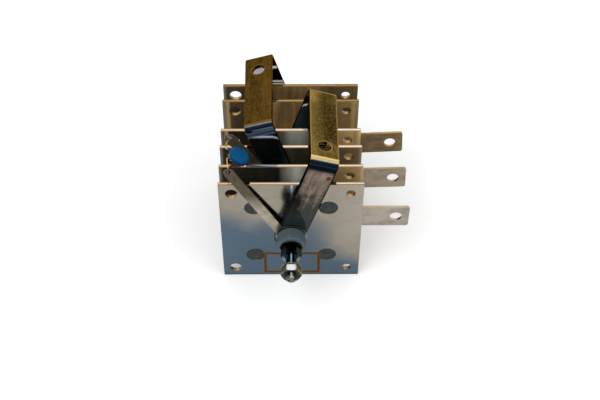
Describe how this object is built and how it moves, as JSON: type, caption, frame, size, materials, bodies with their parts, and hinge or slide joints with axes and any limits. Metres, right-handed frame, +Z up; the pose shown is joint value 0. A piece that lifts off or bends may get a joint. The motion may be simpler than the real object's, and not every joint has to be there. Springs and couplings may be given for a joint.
{
  "type": "three-phase plate rectifier stack",
  "caption": "Three-phase bridge rectifier of square aluminium cooling plates with press-fit diodes, clamped on an insulated stud with blade terminals and two U-shaped bus straps.",
  "frame": {"origin": "middle of the front cooling plate's bottom edge, on the floor under the stud", "axes": "+Y back along the stud from the front plate, +X to the right, where the blade terminals stand out, +Z up"},
  "size_m": [0.1357, 0.1858, 0.129],
  "materials": {
    "plate_aluminium": "rolled sheet, sheared edges",
    "diode_case": "dull nickel with a matte skin",
    "spacer_plastic": "moulded light grey",
    "terminal_plating": "tinned strip, satin",
    "strap_plating": "tinned copper bar, smudged",
    "tinned_copper": "soft, drawn",
    "lug_plating": "tinned, satin",
    "suppressor_coating": "dipped epoxy, slightly glossy",
    "zinc_steel": "bright zinc",
    "yellow_zinc": "yellow passivated zinc",
    "sleeve_plastic": "extruded tube",
    "collar_plastic": "moulded, semi-matte"
  },
  "bodies": {
    "stack": {"cooling_plate_1": "plate_aluminium", "cooling_plate_2": "plate_aluminium", "cooling_plate_3": "plate_aluminium", "cooling_plate_4": "plate_aluminium", "cooling_plate_5": "plate_aluminium", "cooling_plate_6": "plate_aluminium", "diode_1_top_left": "diode_case", "diode_1_top_right": "diode_case", "diode_1_bottom_left": "diode_case", "diode_1_bottom_right": "diode_case", "diode_2_top_left": "diode_case", "diode_2_top_right": "diode_case", "diode_2_bottom_left": "diode_case", "diode_2_bottom_right": "diode_case", "diode_3_top_left": "diode_case", "diode_3_top_right": "diode_case", "diode_3_bottom_left": "diode_case", "diode_3_bottom_right": "diode_case", "diode_4_top_left": "diode_case", "diode_4_top_right": "diode_case", "diode_4_bottom_left": "diode_case", "diode_4_bottom_right": "diode_case", "diode_5_top_left": "diode_case", "diode_5_top_right": "diode_case", "diode_5_bottom_left": "diode_case", "diode_5_bottom_right": "diode_case", "diode_6_top_left": "diode_case", "diode_6_top_right": "diode_case", "diode_6_bottom_left": "diode_case", "diode_6_bottom_right": "diode_case", "spacer_1": "spacer_plastic", "spacer_2": "spacer_plastic", "spacer_3": "spacer_plastic", "spacer_4": "spacer_plastic", "spacer_5": "spacer_plastic", "spacer_6": "spacer_plastic", "ac_terminal_1": "terminal_plating", "ac_terminal_2": "terminal_plating", "ac_terminal_3": "terminal_plating", "minus_bus_strap": "strap_plating", "plus_bus_strap": "strap_plating", "lead_collector": "tinned_copper", "outer_solder_lug": "lug_plating", "inner_solder_lug": "lug_plating", "surge_suppressor": "suppressor_coating", "suppressor_front_lead": "tinned_copper", "suppressor_rear_lead": "tinned_copper", "central_stud": "zinc_steel", "insulating_sleeve": "sleeve_plastic", "front_collar": "collar_plastic", "front_lock_washer": "zinc_steel", "front_clamp_nut": "zinc_steel", "rear_collar": "collar_plastic", "rear_lock_washer": "zinc_steel", "rear_clamp_nut": "zinc_steel"},
    "front_washer": {"front_mounting_washer": "yellow_zinc"},
    "front_nut": {"front_mounting_nut": "yellow_zinc"},
    "rear_washer": {"rear_mounting_washer": "yellow_zinc"},
    "rear_nut": {"rear_mounting_nut": "yellow_zinc"}
  },
  "joints": [
    {"name": "front_washer_travel", "type": "slide", "parent": "stack", "child": "front_washer", "axis": [0, 1, 0], "range_m": [-0.00314, 0.00902]},
    {"name": "front_nut_turn", "type": "hinge", "parent": "front_washer", "child": "front_nut", "pos_m": [0, -0.03805, 0.05], "axis": [0, 1, 0], "range_deg": [-900, 2592]},
    {"name": "rear_washer_travel", "type": "slide", "parent": "stack", "child": "rear_washer", "axis": [0, -1, 0], "range_m": [-0.00314, 0.00902]},
    {"name": "rear_nut_turn", "type": "hinge", "parent": "rear_washer", "child": "rear_nut", "pos_m": [0, 0.13505, 0.05], "axis": [0, -1, 0], "range_deg": [-900, 2592]}
  ],
  "couplings": [
    {"joint": "front_washer_travel", "follows": "front_nut_turn", "m_per_rad": 0.00019894},
    {"joint": "rear_washer_travel", "follows": "rear_nut_turn", "m_per_rad": 0.00019894}
  ]
}
